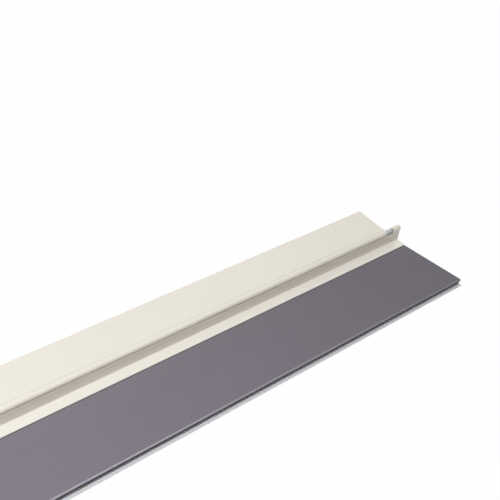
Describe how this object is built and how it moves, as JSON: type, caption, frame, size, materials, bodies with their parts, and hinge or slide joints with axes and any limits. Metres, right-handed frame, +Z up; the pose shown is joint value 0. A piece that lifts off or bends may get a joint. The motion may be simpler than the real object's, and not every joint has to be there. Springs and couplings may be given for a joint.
{
  "type": "door bottom seal",
  "caption": "Long hinged door bottom seal: a flat mounting leaf, a sprung swing leaf and a wide soft flap with a thin floor lip.",
  "frame": {"origin": "on the floor, under the middle of the whole seal", "axes": "+X along the seal, +Y to the mounting leaf's back edge, +Z up from the floor"},
  "size_m": [0.915, 0.085, 0.0197],
  "materials": {
    "leaf_coat": "cream powder coat, satin",
    "swing_coat": "cream powder coat, satin",
    "flap_skin": "smooth matt soft sheet",
    "lip_skin": "pale, slightly milky",
    "pin_steel": "plain bright steel",
    "spring_steel": "zinc-plated wire"
  },
  "bodies": {
    "mounting": {"mounting_leaf": "leaf_coat"},
    "swing": {"swing_leaf": "swing_coat", "flap": "flap_skin", "floor_lip": "lip_skin", "pin_far": "pin_steel", "pin_near": "pin_steel", "spring_far": "spring_steel", "spring_near": "spring_steel"}
  },
  "joints": [
    {"name": "flap_swing", "type": "hinge", "parent": "mounting", "child": "swing", "pos_m": [0, 0.01763, 0.0144], "axis": [-1, 0, 0], "range_deg": [0, 90], "stiffness_Nm_per_rad": 0.08, "springref_deg": -17.19, "deforming": ["spring_far", "spring_near"]}
  ]
}
